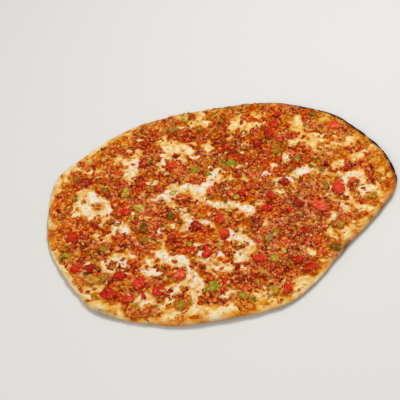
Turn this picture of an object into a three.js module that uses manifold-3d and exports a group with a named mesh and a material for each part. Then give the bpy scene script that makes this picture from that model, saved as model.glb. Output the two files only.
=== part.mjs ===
// A lahmacun: a thin, hand-stretched flatbread, baked with a patchy spread of minced meat,
// and with diced tomato and green pepper lying in the meat.
// Millimetres, +Z up. The bread lies flat; the origin is under its middle, on the surface it rests on.
//
//   flatbread       the baked dough, flat underneath, with a rim that lifts off the table
//   meat_topping    the minced meat, one crumbly layer with holes where the bare dough shows
//   tomato_NN       pieces of tomato and red pepper
//   green_pepper_NN pieces of green pepper
import * as THREE from "three";
import { mergeVertices } from "three/addons/utils/BufferGeometryUtils.js";
import Module from "manifold-3d";

// ---- Driving dimensions -------------------------------------------------------------------------

const GAP = 0.35; // clearance between pieces that touch

// The bread's edge, anticlockwise from its right-hand end: 300 long by 250 wide.
const OUTLINE = [
  [150, 31], [140.5, 64], [118, 94], [104, 107.5], [76.5, 119], [40, 125], [-8, 118], [-50, 106], [-84, 90.5],
  [-106.5, 74], [-128.5, 50.5], [-146.5, 27], [-150, -5], [-147, -42], [-140, -61], [-121, -91], [-102, -111.5],
  [-66, -122], [-38, -125], [8, -117.5], [44, -106], [70, -84], [98, -49], [122, -21], [137, -2], [147, 15],
];

const DOUGH = 2.3; // thickness of the dough in the middle
const FOOT_SHARE = 0.72; // share of the radius that lies flat on the table
const RIM_LIFT = 2.4; // how far the rim's underside stands off the table, on average
const RIM_LIFT_MORE = 1.5; // extra lift where the rim curls up most
const RIM_CURL_AT = THREE.MathUtils.degToRad(25); // direction of that curl
const RIM_CURL_POWER = 1.7; // the rim starts to lift gently and ends steeper
const RIM_WAVES = [{ count: 3, height: 0.5 }, { count: 7, height: 0.35 }]; // waves round the rim
const RIM_BEAD = 0.9; // the rim is thicker by this, in a bead just inside the edge
const BEAD_INSET = 5;
const BEAD_SPREAD = 4.5;
const BEAD_UNEVENNESS = { size: 17, height: 0.7, seed: 21 };
const WAVES = [{ size: 42, height: 0.4, seed: 22 }, { size: 16, height: 0.3, seed: 23 }]; // of the top
const PUFF = 0.9; // bare dough puffs up by this between the meat
const PUFF_FROM = -1; // it starts this far outside the bare dough
const PUFF_TO = 4; // and is full this far inside it
const EDGE_ROUNDING = 1.1;
const UNDERSIDE_SHARES = [1, 0.9, 0.81, FOOT_SHARE]; // rings of the underside, from the edge to the foot

const SPREAD = 1.15; // thickness of the meat under its crumbs
const CRUMB = 1.5; // height of its crumbs
const CRUMB_POWER = 1.4; // over 1: more low crumbs than high ones
const CLUMPS = { size: 15, height: 0.45, seed: 31 }; // slow rise and fall of the spread
const MEAT_INSET = 2.2; // the meat stops this far inside the bread's edge
const INSET_MORE = { size: 9, height: 0.7, seed: 15 }; // and up to twice this height further in
const MEAT_SLOPE = 1.3; // how steeply the meat rises from its borders
const MEAT_BELOW = -1.6; // where the dough is bare, the meat's surface runs this far under the dough's
const PAD = 0.55; // meat under a diced piece
const ABOVE = 50; // higher than everything
const SETTLE = 1.2; // a diced piece lies on the highest meat this far round each of its corners
const PRESS_MARGIN = 3; // the meat is pressed down this far round a diced piece
const PRESS_SLOPE = 0.4; // and rises at this slope from there
const PAD_MARGIN = 2.5; // meat reaches this far round a diced piece, also on bare dough

const RAGGED = [{ size: 7, height: 1.7, seed: 11 }, { size: 3.6, height: 1.1, seed: 12 }]; // meat's borders
const HOLES = { size: 12, height: 7.5, seed: 13 }; // small holes by chance
const HOLE_FROM = 0.32; // they come where the noise is over this
const HOLE_DEPTH = 3.4; // and it takes this much to reach the dough
const HOLE_EDGE = { size: 4, height: 1.5, seed: 14 };

const BREAD_RINGS = 15; // rings of triangles from the middle to the edge
const MEAT_RINGS = 31;
const SLIVER = 0.25; // the meat's triangles thinner than this are merged with their neighbours

// Strokes where the spread is missing: from [x, y] to [x, y], and the width of the stroke.
const BARE_STROKES = [
  // along the rim
  [-147, 6, -142, 30, 7], [-113, 65, -92, 86, 5], [-132, -67, -121, -86, 8], [-108, -104, -82, -112, 8],
  [-22, -112, 6, -112, 9], [51, -90, 63, -79, 10], [74, -70, 84, -61, 8], [99, -38, 114, -26, 6],
  [139, 12, 134, 3, 5],
  // back left
  [-80, 60, -74, 62, 6], [-84, 51, -83, 30, 9], [-87, 82, -86, 78, 6], [-71, 20, -62, 26, 7],
  [-52, 68, -34, 64, 14], [-24, 107, -26, 97, 12], [-15, 70, -14, 62, 8], [-8, 38, -14, 20, 9],
  [-44, 16, -22, 18, 9], [-63, 6, -44, 8, 7], [-126, 11, -108, 10, 6], [-124, 40, -116, 34, 5],
  // front left
  [-121, -3, -113, -15, 11], [-87, -28, -78, -36, 7], [-112, -31, -105, -41, 6], [-47, -3, -30, -13, 8],
  [-54, -53, -53, -60, 9], [-46, -64, -29, -60, 11], [-58, -67, -67, -74, 8], [-90, -60, -79, -58, 6],
  [-105, -80, -100, -76, 8], [-60, -98, -48, -109, 6], [-29, -76, -22, -85, 9], [-27, -90, -26, -104, 10],
  // front right
  [-13, -58, -3, -67, 6], [1, -31, 20, -46, 9], [10, -55, 23, -57, 7], [4, -4, 22, -8, 7],
  [85, -22, 93, -12, 6], [86, -31, 89, -39, 5], [-20, 6, -4, -5, 6],
  // back right
  [8, 102, 8, 86, 7], [26, 98, 18, 74, 5], [63, 93, 67, 104, 8], [86, 101, 95, 105, 7],
  [110, 70, 120, 77, 9], [121, 57, 132, 60, 7], [62, 34, 75, 37, 9], [103, 24, 108, 35, 6],
  [109, 37, 119, 38, 6], [122, 26, 119, 5, 8], [83, 63, 80, 74, 5],
];

// Diced pieces: [x, y] of the middle, length, width, and the turn of the length in degrees.
const TOMATO = {
  name: "tomato", colour: 0xc9281c, height: 2.4, bend: 0,
  pieces: [
    [98, 17, 18, 12, 80], [80, -5, 15, 13, -20], [102, 92, 12, 11, 0], [41, 84, 16, 8, 88],
    [-54, -94, 12, 10, 70], [-120, -72, 11, 10, 10], [-93, -97, 13, 12, 35], [-127, -40, 15, 11, -60],
    [-85, -80, 10, 8, 0], [-70, -87, 12, 9, 70], [-46, 43, 12, 8, -15], [46, -91, 11, 8, 75],
    [65, -72, 13, 10, 30], [-2, -36, 12, 9, 80], [26, -62, 14, 8, 0], [35, -8, 10, 8, 10],
    [51, 22, 10, 9, 0], [-29, -54, 10, 8, 60], [-121, 22, 13, 8, 5], [-38, -78, 12, 9, 20],
    [-26, -28, 13, 9, 60], [-17, -56, 9, 7, 60], [-78, -102, 11, 8, 10], [-87, -13, 11, 9, 20],
    [-109, -72, 10, 9, 0], [-5, -21, 10, 8, 80], [62, -3, 10, 8, 0], [15, 10, 9, 9, 0],
    [39, 6, 10, 8, 0], [30, 71, 13, 7, 75], [47, 95, 10, 8, 60], [57, -63, 9, 8, -20],
  ],
};
const GREEN_PEPPER = {
  name: "green_pepper", colour: 0x8f9a2a, height: 2.1, bend: 0.035,
  pieces: [
    [5, 45, 12, 8, -30], [-86, 9, 12, 7, 80], [-47, 88, 10, 8, 0], [-36, 102, 11, 7, 70],
    [-26, 37, 10, 8, 60], [-74, -8, 12, 9, -5], [-69, -30, 11, 8, 60], [34, -41, 11, 8, 75],
    [-12, -90, 12, 10, 50], [35, -93, 12, 9, 15], [88, -51, 10, 9, 70], [47, 62, 11, 9, 80],
    [126, 5, 9, 7, 20], [-97, -81, 11, 6, 80], [-36, -107, 10, 9, 30], [94, -26, 10, 8, 0],
    [64, 49, 11, 8, 80], [87, 17, 10, 7, 85], [-66, -43, 11, 8, 0], [-99, -52, 10, 8, 20],
    [-106, -84, 10, 8, 0], [-46, -17, 11, 6, 80], [41, -34, 10, 7, 80], [38, -62, 10, 7, 80],
    [12, -99, 9, 8, 60],
  ],
};
const DICE_CORNERS = 6;
const DICE_UNEVENNESS = 0.3; // how much a corner of a piece stands in or out, as a share of its size
const DICE_SKEW = 0.6; // how far a corner may slip towards the next one, as a share of the way
const DICE_RINGS = [[0.9, 0], [1, 0.55], [0.8, 1]]; // from the bottom up: size, and share of the height
const DICE_CROWN = 1.08; // height of the middle of the top

// ---- Seeded noise -------------------------------------------------------------------------------

// A number from 0 to 1 that depends only on the two whole numbers and the seed.
function hash(i, j, seed) {
  let h = Math.imul(i, 374761393) + Math.imul(j, 668265263) + Math.imul(seed, 1442695041);
  h = Math.imul(h ^ (h >>> 13), 1274126177);
  return ((h ^ (h >>> 16)) >>> 0) / 2 ** 32;
}

// Smooth noise from -1 to 1, with one bump every `size` millimetres.
function noise(x, y, size, seed) {
  const i = Math.floor(x / size);
  const j = Math.floor(y / size);
  const u = THREE.MathUtils.smoothstep(x / size - i, 0, 1);
  const v = THREE.MathUtils.smoothstep(y / size - j, 0, 1);
  const near = THREE.MathUtils.lerp(hash(i, j, seed), hash(i + 1, j, seed), u);
  const far = THREE.MathUtils.lerp(hash(i, j + 1, seed), hash(i + 1, j + 1, seed), u);
  return 2 * THREE.MathUtils.lerp(near, far, v) - 1;
}

// The sum of one noise or more, each as high as it says.
function bumps(x, y, ...kinds) {
  return kinds.reduce((sum, { size, height, seed }) => sum + height * noise(x, y, size, seed), 0);
}

// ---- The bread's fields, all as functions of x and y --------------------------------------------

const FULL_TURN = 2 * Math.PI;
const EDGE_SAMPLES = 720;
const edgeRadii = polarRadii(OUTLINE);

// The outline's distance from the middle, at even steps of direction.
function polarRadii(points) {
  const corners = points.map(([x, y]) => new THREE.Vector3(x, y, 0));
  const curve = new THREE.CatmullRomCurve3(corners, true, "centripetal");
  const sampled = curve.getPoints(4 * EDGE_SAMPLES).map((p) => ({
    turn: (Math.atan2(p.y, p.x) + FULL_TURN) % FULL_TURN,
    radius: Math.hypot(p.x, p.y),
  }));
  sampled.sort((a, b) => a.turn - b.turn);
  return Array.from({ length: EDGE_SAMPLES }, (_, k) => {
    const turn = (k * FULL_TURN) / EDGE_SAMPLES;
    const next = sampled.find((p) => p.turn >= turn) ?? sampled[0];
    return next.radius;
  });
}

function edgeRadius(turn) {
  const at = ((((turn / FULL_TURN) % 1) + 1) % 1) * EDGE_SAMPLES;
  const k = Math.floor(at) % EDGE_SAMPLES;
  return THREE.MathUtils.lerp(edgeRadii[k], edgeRadii[(k + 1) % EDGE_SAMPLES], at - Math.floor(at));
}

function edgeDistance(x, y) {
  return edgeRadius(Math.atan2(y, x)) - Math.hypot(x, y);
}

function strokeDistance(x, y, [x0, y0, x1, y1, width]) {
  const dx = x1 - x0;
  const dy = y1 - y0;
  const along = THREE.MathUtils.clamp(((x - x0) * dx + (y - y0) * dy) / (dx * dx + dy * dy), 0, 1);
  return Math.hypot(x - x0 - along * dx, y - y0 - along * dy) - width / 2;
}

// How far a point lies inside the meat, in millimetres: under 0 on bare dough. The strokes' edges are ragged,
// and small holes come by chance between them.
function cover(x, y) {
  const stroke = Math.min(...BARE_STROKES.map((s) => strokeDistance(x, y, s)));
  const ragged = stroke + bumps(x, y, ...RAGGED);
  const holes = HOLES.height * Math.max(0, noise(x, y, HOLES.size, HOLES.seed) - HOLE_FROM);
  const whole = HOLE_DEPTH - holes - bumps(x, y, HOLE_EDGE);
  const rim = edgeDistance(x, y) - MEAT_INSET - INSET_MORE.height - bumps(x, y, INSET_MORE);
  return Math.min(ragged, whole, rim);
}

// The underside: flat on the table as far as the foot reaches, then lifting towards the rim.
function breadBottom(x, y) {
  const turn = Math.atan2(y, x);
  const share = Math.hypot(x, y) / edgeRadius(turn);
  const out = THREE.MathUtils.clamp((share - FOOT_SHARE) / (1 - FOOT_SHARE), 0, 1);
  const waves = RIM_WAVES.reduce((sum, { count, height }) => sum + height * Math.sin(count * turn), 0);
  return (RIM_LIFT + RIM_LIFT_MORE * Math.cos(turn - RIM_CURL_AT) + waves) * out ** RIM_CURL_POWER;
}

function breadTop(x, y) {
  const toBead = (edgeDistance(x, y) - BEAD_INSET) / BEAD_SPREAD;
  const bead = RIM_BEAD * Math.exp(-(toBead ** 2)) * (1 + bumps(x, y, BEAD_UNEVENNESS));
  const puff = PUFF * THREE.MathUtils.smoothstep(-cover(x, y), PUFF_FROM, PUFF_TO);
  return breadBottom(x, y) + DOUGH + bead + bumps(x, y, ...WAVES) + puff;
}

// ---- Solids -------------------------------------------------------------------------------------

// Points in rings round the middle, 6 on the first ring and 6 more on each ring after, so that the triangles
// between them are all about the same size. `place(share, turn)` gives each point as [x, y, z].
function disc(rings, place) {
  const points = [place(0, 0)];
  const faces = [];
  const start = (ring) => (ring === 0 ? 0 : 1 + 3 * ring * (ring - 1));
  for (let ring = 1; ring <= rings; ring++) {
    const count = 6 * ring;
    for (let k = 0; k < count; k++) points.push(place(ring / rings, (k * FULL_TURN) / count));
    const inner = (k) => (ring === 1 ? 0 : start(ring - 1) + (k % (count - 6)));
    const outer = (k) => start(ring) + (k % count);
    for (let side = 0; side < 6; side++) {
      for (let k = 0; k < ring; k++) {
        const o = side * ring + k;
        const i = side * (ring - 1) + k;
        faces.push([inner(i), outer(o), outer(o + 1)]);
        if (k < ring - 1) faces.push([inner(i), outer(o + 1), inner(i + 1)]);
      }
    }
  }
  return { points, faces, edge: Array.from({ length: 6 * rings }, (_, k) => start(rings) + k) };
}

// Adds a ring of points below or outside the last one, joined to it by a band of triangles.
function addBand(body, place) {
  const count = body.edge.length;
  const next = body.edge.map((_, k) => body.points.push(place((k * FULL_TURN) / count)) - 1);
  for (let k = 0; k < count; k++) {
    const j = (k + 1) % count;
    body.faces.push([body.edge[k], next[k], next[j]], [body.edge[k], next[j], body.edge[j]]);
  }
  body.edge = next;
}

// Closes the underside with triangles from one point in its middle.
function closeBottom(body, middle) {
  const centre = body.points.push(middle) - 1;
  body.edge.forEach((k, i) => body.faces.push([k, centre, body.edge[(i + 1) % body.edge.length]]));
}

function geometryOf({ points, faces }) {
  const geometry = new THREE.BufferGeometry();
  geometry.setAttribute("position", new THREE.Float32BufferAttribute(points.flat(), 3));
  geometry.setIndex(faces.flat());
  return geometry;
}

// A point at a share of the way out to a line that runs `inset` inside the bread's edge.
function outTo(share, turn, inset) {
  const r = share * (edgeRadius(turn) - inset);
  return [r * Math.cos(turn), r * Math.sin(turn)];
}

function flatbread() {
  const body = disc(BREAD_RINGS, (share, turn) => {
    const [x, y] = outTo(share, turn, EDGE_ROUNDING);
    return [x, y, breadTop(x, y)];
  });
  addBand(body, (turn) => {
    const [x, y] = outTo(1, turn, 0);
    return [x, y, THREE.MathUtils.lerp(breadBottom(x, y), breadTop(x, y), 0.5)];
  });
  for (const share of UNDERSIDE_SHARES) {
    addBand(body, (turn) => {
      const [x, y] = outTo(share, turn, EDGE_ROUNDING);
      return [x, y, share === FOOT_SHARE ? 0 : breadBottom(x, y)];
    });
  }
  closeBottom(body, [0, 0, 0]);
  return geometryOf(body);
}

const BLOCK_DEPTH = 20; // the block that is cut away reaches this far down
const BLOCK_MARGIN = 10; // and this far out of the bread

// Everything under the bread's top surface, raised by the gap and a little wider than the bread.
function underMeat() {
  const body = disc(BREAD_RINGS, (share, turn) => {
    const [x, y] = outTo(share, turn, EDGE_ROUNDING);
    return [x, y, breadTop(x, y) + GAP];
  });
  for (const z of [0, -BLOCK_DEPTH]) {
    addBand(body, (turn) => [...outTo(1, turn, -BLOCK_MARGIN), z]);
  }
  closeBottom(body, [0, 0, -BLOCK_DEPTH]);
  return geometryOf(body);
}

const allDice = [TOMATO, GREEN_PEPPER].flatMap((kind) =>
  kind.pieces.map(([x, y, length, width, degrees]) => {
    const turn = THREE.MathUtils.degToRad(degrees);
    return { kind, x, y, length, width, turn };
  }),
);

// How far a point lies outside the nearest diced piece, in millimetres.
function diceDistance(x, y) {
  return Math.min(
    ...allDice.map((d) => {
      const dx = x - d.x;
      const dy = y - d.y;
      const along = dx * Math.cos(d.turn) + dy * Math.sin(d.turn);
      const across = dy * Math.cos(d.turn) - dx * Math.sin(d.turn);
      return (Math.hypot(along / (d.length / 2), across / (d.width / 2)) - 1) * (d.width / 2);
    }),
  );
}

// The meat's top: crumbs on a thin spread, pressed down under the diced pieces, and below the dough
// where that is bare.
function meatTop(x, y, crumb) {
  const toDice = diceDistance(x, y);
  const inside = Math.max(cover(x, y), PAD_MARGIN - toDice);
  const crumbs = SPREAD + CRUMB * crumb ** CRUMB_POWER + bumps(x, y, CLUMPS);
  const pressed = PAD + PRESS_SLOPE * Math.max(0, toDice - PRESS_MARGIN);
  const thickness = Math.max(MEAT_BELOW, Math.min(MEAT_SLOPE * inside, crumbs, pressed));
  return breadTop(x, y) + GAP + thickness;
}

// The crumbly surface with everything above the dough kept: one connected layer, without its loose scraps.
function meatTopping(wasm) {
  let crumb = 0;
  const body = disc(MEAT_RINGS, (share, turn) => {
    const [x, y] = outTo(share, turn, MEAT_INSET);
    return [x, y, meatTop(x, y, hash(crumb++, 0, 41))];
  });
  addBand(body, (turn) => [...outTo(1, turn, MEAT_INSET), -BLOCK_DEPTH / 2]);
  closeBottom(body, [0, 0, -BLOCK_DEPTH / 2]);
  const layer = solidOf(wasm, geometryOf(body)).subtract(solidOf(wasm, underMeat()));
  const parts = layer.decompose();
  parts.sort((a, b) => b.volume() - a.volume());
  return geometryFrom(parts[0].simplify(SLIVER));
}

// A function that gives the height of the highest surface among the meshes at a place and close round it.
function groundOf(meshes) {
  const ray = new THREE.Raycaster();
  const down = new THREE.Vector3(0, 0, -1);
  const height = (x, y) => {
    ray.set(new THREE.Vector3(x, y, ABOVE), down);
    return ray.intersectObjects(meshes)[0].point.z;
  };
  const near = [[0, 0], [SETTLE, 0], [-SETTLE, 0], [0, SETTLE], [0, -SETTLE]];
  return (x, y) => Math.max(...near.map(([dx, dy]) => height(x + dx, y + dy)));
}

// The corners of one level of a diced piece, which follows the rise and fall of the ground.
function diceRing({ kind, x, y, length, width, turn }, number, floor, level) {
  const [size, up] = DICE_RINGS[level];
  return Array.from({ length: DICE_CORNERS }, (_, k) => {
    const t = ((k + DICE_SKEW * hash(k, number, 53)) * FULL_TURN) / DICE_CORNERS;
    const uneven = size * (1 + DICE_UNEVENNESS * (hash(k, number, 51) - 0.5));
    const along = (length / 2) * uneven * Math.cos(t);
    const bend = kind.bend * (along ** 2 - length ** 2 / 12);
    const across = (width / 2) * uneven * Math.sin(t) + bend;
    const px = x + along * Math.cos(turn) - across * Math.sin(turn);
    const py = y + along * Math.sin(turn) + across * Math.cos(turn);
    const height = kind.height * (1 + DICE_UNEVENNESS * (hash(k, number, 54 + level) - 0.5));
    return [px, py, floor(px, py) + height * up];
  });
}

// An uneven block with a flat underside and a slightly crowned top.
function dicedPiece(dice, number, ground) {
  const floor = (x, y) => ground(x, y) + GAP;
  const points = DICE_RINGS.flatMap((_, level) => diceRing(dice, number, floor, level));
  const faces = [];
  const next = (k) => (k + 1) % DICE_CORNERS;
  const last = (DICE_RINGS.length - 1) * DICE_CORNERS;
  for (let low = 0; low < last; low += DICE_CORNERS) {
    const high = low + DICE_CORNERS;
    for (let k = 0; k < DICE_CORNERS; k++) {
      faces.push([low + k, low + next(k), high + next(k)], [low + k, high + next(k), high + k]);
    }
  }
  const top = points.push([dice.x, dice.y, floor(dice.x, dice.y) + dice.kind.height * DICE_CROWN]) - 1;
  for (let k = 0; k < DICE_CORNERS; k++) faces.push([last + k, last + next(k), top]);
  for (let k = 1; k + 1 < DICE_CORNERS; k++) faces.push([0, k + 1, k]);
  return geometryOf({ points, faces });
}

// ---- manifold-3d in and out ---------------------------------------------------------------------

function solidOf(wasm, geometry) {
  const merged = mergeVertices(geometry, 1e-4);
  const mesh = new wasm.Mesh({
    numProp: 3,
    vertProperties: merged.attributes.position.array,
    triVerts: new Uint32Array(merged.index.array),
  });
  return new wasm.Manifold(mesh);
}

function geometryFrom(solid) {
  const mesh = solid.getMesh();
  const geometry = new THREE.BufferGeometry();
  geometry.setAttribute("position", new THREE.BufferAttribute(new Float32Array(mesh.vertProperties), 3));
  geometry.setIndex(new THREE.BufferAttribute(mesh.triVerts, 1));
  return geometry;
}

// ---- The lahmacun -------------------------------------------------------------------------------

function pieceOf(name, geometry, colour, roughness) {
  geometry.computeVertexNormals();
  const material = new THREE.MeshStandardMaterial({ color: colour, roughness, metalness: 0 });
  const mesh = new THREE.Mesh(geometry, material);
  mesh.name = name;
  return mesh;
}

const wasm = await Module();
wasm.setup();

const bread = pieceOf("flatbread", flatbread(), 0xe8cf9a, 0.75);
const meat = pieceOf("meat_topping", meatTopping(wasm), 0xb4501e, 0.55);
const ground = groundOf([meat, bread]);

const lahmacun = new THREE.Group();
lahmacun.add(bread, meat);
for (const kind of [TOMATO, GREEN_PEPPER]) {
  const ofKind = allDice.filter((dice) => dice.kind === kind);
  ofKind.forEach((dice, k) => {
    const name = `${kind.name}_${String(k + 1).padStart(2, "0")}`;
    const geometry = dicedPiece(dice, allDice.indexOf(dice), ground);
    lahmacun.add(pieceOf(name, geometry, kind.colour, 0.35));
  });
}

export default lahmacun;
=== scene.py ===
"""The looks of a lahmacun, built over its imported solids.

Lengths are in millimetres here, and become metres when a mesh, a light or the camera is made. As in the
solids, x runs along the bread, y away from the eater and z up, and the bread lies on z = 0.
"""

import math

import bmesh
import bpy
import numpy as np
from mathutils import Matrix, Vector
from mathutils import noise as solid_noise
from mathutils.bvhtree import BVHTree


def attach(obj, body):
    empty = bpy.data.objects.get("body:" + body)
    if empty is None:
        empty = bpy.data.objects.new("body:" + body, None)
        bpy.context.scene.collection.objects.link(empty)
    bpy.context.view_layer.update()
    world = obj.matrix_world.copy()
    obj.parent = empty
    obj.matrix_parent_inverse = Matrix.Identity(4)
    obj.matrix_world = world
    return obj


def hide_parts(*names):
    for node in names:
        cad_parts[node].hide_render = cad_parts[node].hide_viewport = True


MM = 0.001
TAU = 2 * math.pi
SEED = 12  # of the scattered pieces; each noise has a seed of its own

# ---- The view ------------------------------------------------------------------------------------

VIEW_ANGLE = 27.0  # degrees across the picture
VIEW_ELEVATION = 48.0  # degrees above the table
VIEW_DISTANCE = 717.5
VIEW_TARGET = (-22.0, 5.3, 0.0)
SENSOR = 36.0  # width of the camera's sensor
# Each light's place, its width and its power in watts. All of them look at the middle of the bread.
LIGHTS = {"key": ((250.0, 400.0, 1000.0), 450.0, 6.7), "fill": ((-500.0, -900.0, 800.0), 800.0, 4.2)}
SKY = (1.0, 0.98, 0.95, 1.0)
SKY_STRENGTH = 0.4
FLOOR_HALF = 20000.0  # half the floor's width

# ---- Reading the solids --------------------------------------------------------------------------

FIELD_STEP = 1.0  # distance between the places where the solids' heights are read
FIELD_MARGIN = 6.0  # how far the readings go past the bread
RAY_HEIGHT = 100.0  # how far above or below the table each reading starts
EDGE_CORNERS = 90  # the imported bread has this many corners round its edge
# How far each field is smoothed once it has been read.
BREAD_BLUR = 1.5
BARE_BLUR = 1.8
THICKNESS_BLUR = 2.0
DICE_BLUR = 0.8
UNDER_DICE_BLUR = 1.2
WELL_INSIDE = 0.98  # share of solid bread around a place whose height is used for the top

# ---- The dough -----------------------------------------------------------------------------------

DOUGH_RINGS = 115
# Noise is given in layers here and below, each with its height, the size of its bumps and its seed.
DOUGH_GRAIN = ((0.13, 2.3, 42), (0.07, 1.2, 43))
RIM_GRAIN = ((0.25, 4.5, 44),)  # is added towards the edge
EDGE_WOBBLE = ((0.45, 11, 61), (0.225, 4, 62))
EDGE_ROUNDING = 1.4
EDGE_BANDS = 5  # rings of faces over each half of the rounded edge
UNDERSIDE_SHARES = (0.97, 0.93, 0.88, 0.82, 0.76, 0.7, 0.55, 0.35, 0.15)  # the radii of its rings
BUBBLE_SPACING = 8.5
BUBBLE_SEED = 41
BUBBLE_RADIUS = 0.44  # as a share of the spacing
BUBBLE_HEIGHT = 1.0
BUBBLE_RISE = (2.0, 0.9)  # a bubble's share of that height is its number times the one, less the other
RIM_REACH = 6.0  # how far in from the edge the dough is toasted
RIM_OIL = 0.43  # how much yellower than the floury patches the dough is towards the edge
RIM_OIL_BAND = (16.0, 5.0)  # between these distances from it
RIM_OIL_WAVES = ((0.8, 9, 74),)
RIM_PALENESS = (0.33, 1.05)  # how pale the edge is outside the mince, at the least and where it is floury
RIM_PALE_BAND = (3.5, 1.5)  # between these distances from it
STAINS = ((0.17, 7, 75), (0.17, 3.5, 76))  # how unevenly the oil has stained it
STRAY_STAINS = 0.3  # how much oilier the dough is round stray flakes
BACK = (38.0, 85.0)  # the dough gets oilier and yellower between these distances behind the middle
BACK_OIL = 0.08  # how much oilier
BACK_BUTTER = 0.7  # how much yellower
BUTTERY_BAND = (55.0, 12.0)  # bare dough gets yellower between these distances from the edge
BUTTERY_WAVES = ((0.45, 22, 78),)
GAP_PALENESS = 1.05  # how pale the dough is in the gaps of the mince: 0 is soaked in oil, 1 is floury
GAP_WAVES = ((0.9, 7, 77),)

# Where the edge is burnt or toasted: from one direction to the other in degrees, and how badly.
CHARRED = ((8, 66, 1.0), (66, 96, 0.4), (-31, -25, 0.6), (-10, -4, 0.3), (-133, -128, 0.5), (120, 128, 0.3))
CHAR_REACH = 5.2
CHAR_WAVES = ((0.5, 8, 71),)  # how unevenly it reaches in
CHAR_BREAKS = ((1.0, 5, 72),)  # where it is broken
FLOURY_EDGE = ((-162, -138, 1.0), (-66, -44, 0.25))  # in the same way, where it is pale with flour
TOASTED_EDGE = ((-38, -23, 1.0), (-23, -12, 0.6), (-12, 40, 1.0), (40, 100, 0.8), (-130, -72, 0.2))
TOASTED_LEAST = 0.25  # elsewhere
TOASTED_WAVES = ((0.5, 14, 73),)
DIRECTION_FADE = 4.0  # each stretch fades out over this many degrees on both sides of its ends

# ---- The mince -----------------------------------------------------------------------------------

PASTE_RINGS = 195
PASTE_SHARE = 0.45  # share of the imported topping's thickness that the paste between the crumbs has
PASTE_WAVES = ((0.4, 6.5, 64),)
PASTE_LEAST = 0.35
PASTE_DIP = 0.7  # how far the paste's hidden edge dives into the dough
BORDER_BLUR = 2.2  # the flakes thin out over about twice this width along the mince's borders
# How the borders wander: how far, the size of the bends, and the seeds along x and y.
RAGGED = ((2.6, 5.5, 31, 35), (1.3, 2.6, 32, 36))
SPARSE = 0.95  # how strongly the flakes thin out in spots inside the mince
# The noise that makes those spots, and the values of it between which the flakes thin out.
LACE = ((0.4, 14, 53), (0.4, 5.5, 54), (0.5, 2.8, 60))
LACE_BAND = (-0.02, 0.53)
STRAY_FLAKES = 0.85  # how many flakes lie in the bare patches
STRAYS = ((0.8, 5.5, 65), (0.7, 2.4, 66))
STRAY_BAND = (0.4, 1.1)  # they appear between these values of that noise
RIM_SPREAD = 2.0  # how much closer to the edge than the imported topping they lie
RIM_SPREAD_BAND = (9.0, 3.0)  # between these distances from the edge
CHARRED_BAND = (4.2, 3.2)  # and nearer to the edge than this they are burnt away where it is charred
THICKEST = (52.0, -42.0)  # where the mince lies thickest
THICKEST_REACH = 32.0
REDDEST = (38.0, 80.0)  # where it is reddest and darkest
REDDEST_REACH = 40.0
THIN_BAND = (28.0, 8.0)  # towards the rim the mince gets more golden, between these distances from the edge

PATCH_MARGIN = 0.6  # the small patches are this much wider all round, as the flakes at their edges lean in
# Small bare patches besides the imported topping's: from (x, y) to (x, y), and the width.
SMALL_PATCHES = (
    # back left
    (-120, 58, -101, 76, 5), (-101, 78, -84, 88, 5), (-82, 91, -66, 96, 4),
    (-60, 44, -56, 40, 4), (-100, 48, -96, 56, 4), (-52, 54, -38, 52, 6), (-42, 104, -32, 101, 5),
    (-80, 54, -78, 44, 5), (-118, 40, -110, 36, 5), (-28, 16, -27, 4, 5), (-66, 60, -62, 62, 4),
    (-130, 46, -129, 37, 4), (-129, 37, -119, 33, 4), (-126, 6, -125, -6, 4), (-46, 109, -36, 112, 4),
    (-142, 22, -132, 40, 5), (-124, 49, -106, 69, 5), (-98, 76, -82, 86, 4), (-50, 74, -42, 78, 5),
    # front left
    (-36, -19, -30, -22, 6), (-20, -21, -11, -24, 7), (-34, -33, -34, -38, 4), (-51, -37, -50, -48, 4),
    (-20, -64, -9, -71, 5), (-68, -72, -54, -76, 6), (-98, -72, -92, -76, 5), (-112, -91, -98, -92, 5),
    (-60, -88, -57, -97, 5), (-68, -106, -58, -103, 5), (-117, 4, -104, 2, 7), (-102, -2, -98, -14, 5),
    (-42, -115, -24, -114, 7), (-100, -36, -94, -34, 3), (-116, -16, -112, -20, 5), (-140, -53, -135, -64, 5),
    (-60, -118, -46, -120, 6), (-64, -62, -60, -66, 5), (-78, -56, -74, -60, 5), (-32, -70, -28, -76, 6),
    # front right
    (68, -50, 69, -58, 5), (32, -17, 33, -24, 4), (101, -2, 103, -9, 6), (115, -10, 118, -3, 7),
    (2, -92, 6, -95, 5), (20, -98, 26, -98, 5), (1, -30, 7, -38, 6), (34, -100, 42, -104, 5),
    (22, -107, 29, -108, 5), (94, -27, 101, -33, 5), (108, 2, 122, -8, 5), (78, -64, 86, -60, 5),
    (122, -14, 130, -5, 5), (108, -29, 117, -20, 4), (84, -34, 91, -42, 5), (97, -38, 112, -24, 6),
    (88, -57, 97, -46, 5), (76, -68, 86, -58, 5), (20, -44, 22, -52, 6),
    # back right
    (97, 76, 102, 71, 6), (56, 57, 57, 50, 5), (40, 43, 46, 43, 5), (64, 34, 62, 27, 4), (98, 46, 106, 44, 4),
    (106, 9, 103, 24, 7), (103, 24, 108, 33, 7), (108, 33, 121, 35, 7), (125, 18, 134, 8, 7),
    (137, 32, 140, 40, 5), (34, 24, 47, 26, 4), (38, 14, 48, 12, 4), (24, 62, 28, 56, 4), (0, 15, 6, 18, 4),
    (81, 82, 91, 77, 5), (117, 54, 125, 53, 5), (89, 27, 91, 14, 4), (2, 84, 8, 76, 4), (36, 121, 50, 121, 4),
)

FLAKE = 3.1  # spacing of the paste's flakes
FLAKE_SEED = 55
FLAKE_RISE = 1.5
FLAKE_RADIUS = 0.74  # as a share of the spacing
GRAIN = 1.5  # spacing of the grains on them
GRAIN_RISE = 0.6
GRAIN_SEED = 63
WARP = (0.9, 2.7, 57, 58)  # how the flakes' outlines wander, given as for the borders
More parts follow.
